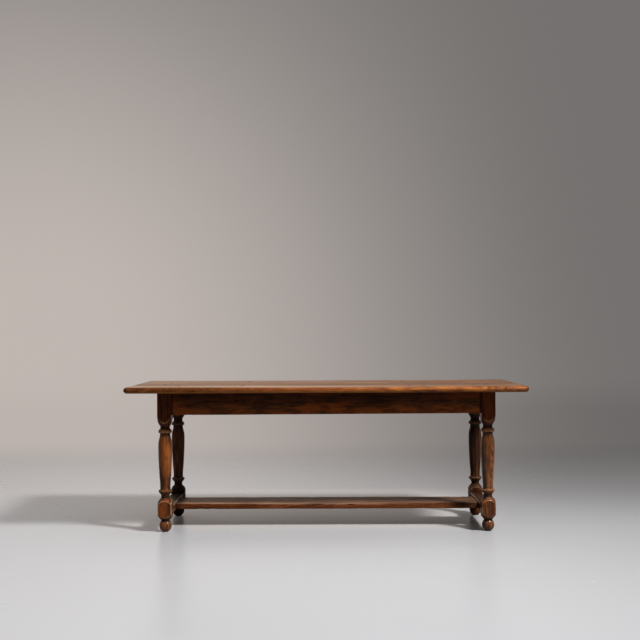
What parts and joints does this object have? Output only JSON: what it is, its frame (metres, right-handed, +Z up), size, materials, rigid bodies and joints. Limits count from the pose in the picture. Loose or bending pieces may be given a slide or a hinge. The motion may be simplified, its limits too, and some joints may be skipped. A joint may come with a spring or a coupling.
{
  "type": "refectory dining table",
  "caption": "Long joined oak dining table: boarded top with a half-round edge on turned baluster legs, aprons, end stretchers and a broad flat centre stretcher.",
  "frame": {"origin": "floor level under the middle of the top", "axes": "+X along the length of the top, -Y towards the front, +Z up"},
  "size_m": [2.074, 0.8, 0.764],
  "materials": {
    "top_oak": "waxed old oak, worn and mellow",
    "leg_oak": "waxed old oak, turned, warm brown",
    "rail_oak": "waxed old oak, nearly black with reddish streaks",
    "stretcher_oak": "old oak worn dull by feet",
    "peg_oak": "cleft oak pegs, end grain",
    "tongue_oak": "plain planed oak, hidden"
  },
  "bodies": {
    "root": {"top_board_front": "top_oak", "top_board_front_inner": "top_oak", "top_board_back_inner": "top_oak", "top_board_back": "top_oak", "tongue_front": "tongue_oak", "tongue_middle": "tongue_oak", "tongue_back": "tongue_oak", "leg_front_left": "leg_oak", "leg_front_right": "leg_oak", "leg_back_left": "leg_oak", "leg_back_right": "leg_oak", "apron_front": "rail_oak", "apron_back": "rail_oak", "apron_left": "rail_oak", "apron_right": "rail_oak", "end_stretcher_left": "stretcher_oak", "end_stretcher_right": "stretcher_oak", "centre_stretcher": "stretcher_oak", "apron_pegs": "peg_oak", "stretcher_pegs": "peg_oak", "centre_stretcher_pegs": "peg_oak", "top_pegs": "peg_oak"}
  },
  "joints": []
}
